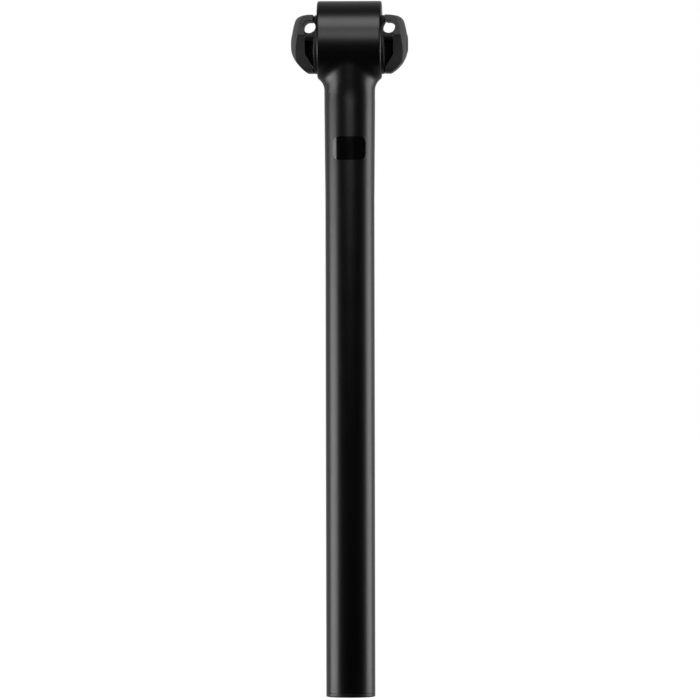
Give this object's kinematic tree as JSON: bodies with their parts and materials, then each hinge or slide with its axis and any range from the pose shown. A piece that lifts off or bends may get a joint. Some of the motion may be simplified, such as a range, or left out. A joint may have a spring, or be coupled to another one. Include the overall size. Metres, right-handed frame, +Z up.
{
  "type": "bicycle seatpost",
  "caption": "Straight round bicycle seatpost with a transverse barrel head and a side-bolt clamp that grips both saddle rails and sets saddle tilt.",
  "frame": {"origin": "centre of the foot of the post", "axes": "+Z up the post, +Y fore and aft along the rails, +X along the clamp bolt from its head towards its nut"},
  "size_m": [0.0649, 0.0416, 0.3853],
  "materials": {
    "carbon": "satin",
    "black_alloy": "matte",
    "grey_alloy": "satin",
    "black_steel": "satin",
    "steel_pin": "satin",
    "seal_rubber": "matte",
    "black_nylon": "matte"
  },
  "bodies": {
    "post": {"post_shell": "carbon", "bore_sleeve": "grey_alloy", "left_taper_ring": "grey_alloy", "right_taper_ring": "grey_alloy", "left_dust_seal": "seal_rubber", "right_dust_seal": "seal_rubber", "end_plug": "black_nylon", "plug_seal": "seal_rubber"},
    "cradle": {"left_inner_clamp": "black_alloy", "right_inner_clamp": "black_alloy", "alignment_tube": "grey_alloy", "key_pins": "steel_pin"},
    "left_jaw": {"left_outer_clamp": "black_alloy", "bolt_washer": "black_steel"},
    "right_jaw": {"right_outer_clamp": "black_alloy", "clamp_nut": "black_alloy"},
    "bolt": {"clamp_bolt": "black_steel"}
  },
  "joints": [
    {"name": "saddle_tilt", "type": "hinge", "parent": "post", "child": "cradle", "pos_m": [0, 0, 0.3612], "axis": [1, 0, 0], "range_deg": [-25, 25]},
    {"name": "left_jaw_slide", "type": "slide", "parent": "cradle", "child": "left_jaw", "axis": [-1, 0, 0], "range_m": [0, 0.0025]},
    {"name": "right_jaw_slide", "type": "slide", "parent": "cradle", "child": "right_jaw", "axis": [1, 0, 0], "range_m": [0, 0.0025]},
    {"name": "bolt_turn", "type": "hinge", "parent": "left_jaw", "child": "bolt", "pos_m": [0, 0, 0.3612], "axis": [-1, 0, 0], "range_deg": [0, 1800]}
  ],
  "couplings": [
    {"joint": "right_jaw_slide", "follows": "left_jaw_slide", "ratio": 1},
    {"joint": "bolt_turn", "follows": "left_jaw_slide", "rad_per_m": 12566}
  ]
}
